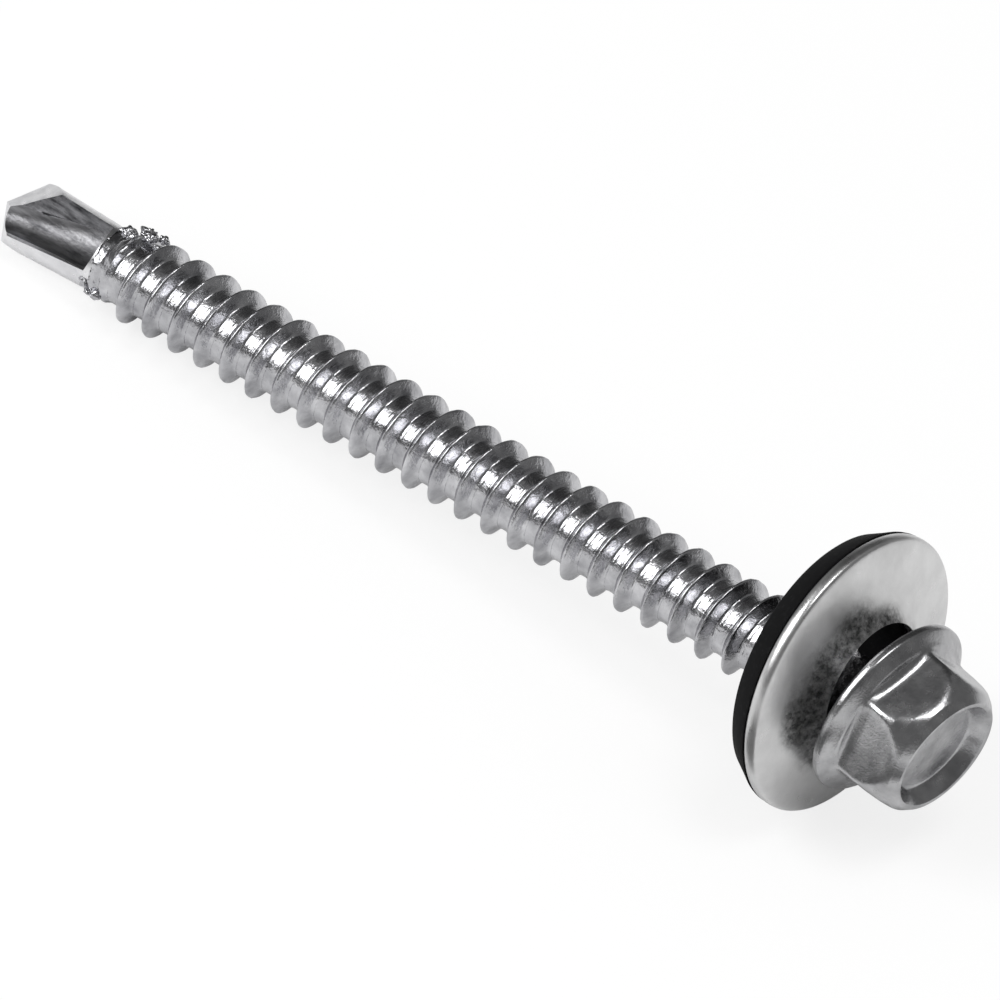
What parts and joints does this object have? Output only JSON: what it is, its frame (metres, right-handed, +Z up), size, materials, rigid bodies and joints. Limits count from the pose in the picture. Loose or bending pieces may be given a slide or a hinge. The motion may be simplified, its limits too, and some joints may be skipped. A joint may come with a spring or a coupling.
{
  "type": "self drilling screw",
  "caption": "Hex flange head self drilling screw with coarse thread, two-flute drill point, a slightly bent head and a loose domed metal washer bonded to a black rubber seal, lying at rest.",
  "frame": {"origin": "on the ground, at the middle of the lying screw's bounding box", "axes": "+Z up; +X along the ground towards the head; the screw's own axis slopes up from tip to head by about 5.5 degrees in the XZ plane"},
  "size_m": [0.0664, 0.0164, 0.0163],
  "materials": {
    "zinc_steel": "bright zinc plate",
    "washer_metal": "satin zinc plate",
    "seal_rubber": "matt black"
  },
  "bodies": {
    "screw": {"screw": "zinc_steel"},
    "washer": {"washer_plate": "washer_metal", "rubber_seal": "seal_rubber"}
  },
  "joints": [
    {"name": "washer_spin", "type": "hinge", "parent": "screw", "child": "washer", "pos_m": [0.02723, -0.0001, 0.00843], "axis": [-0.9894, 0.0432, -0.1383], "continuous": true}
  ]
}
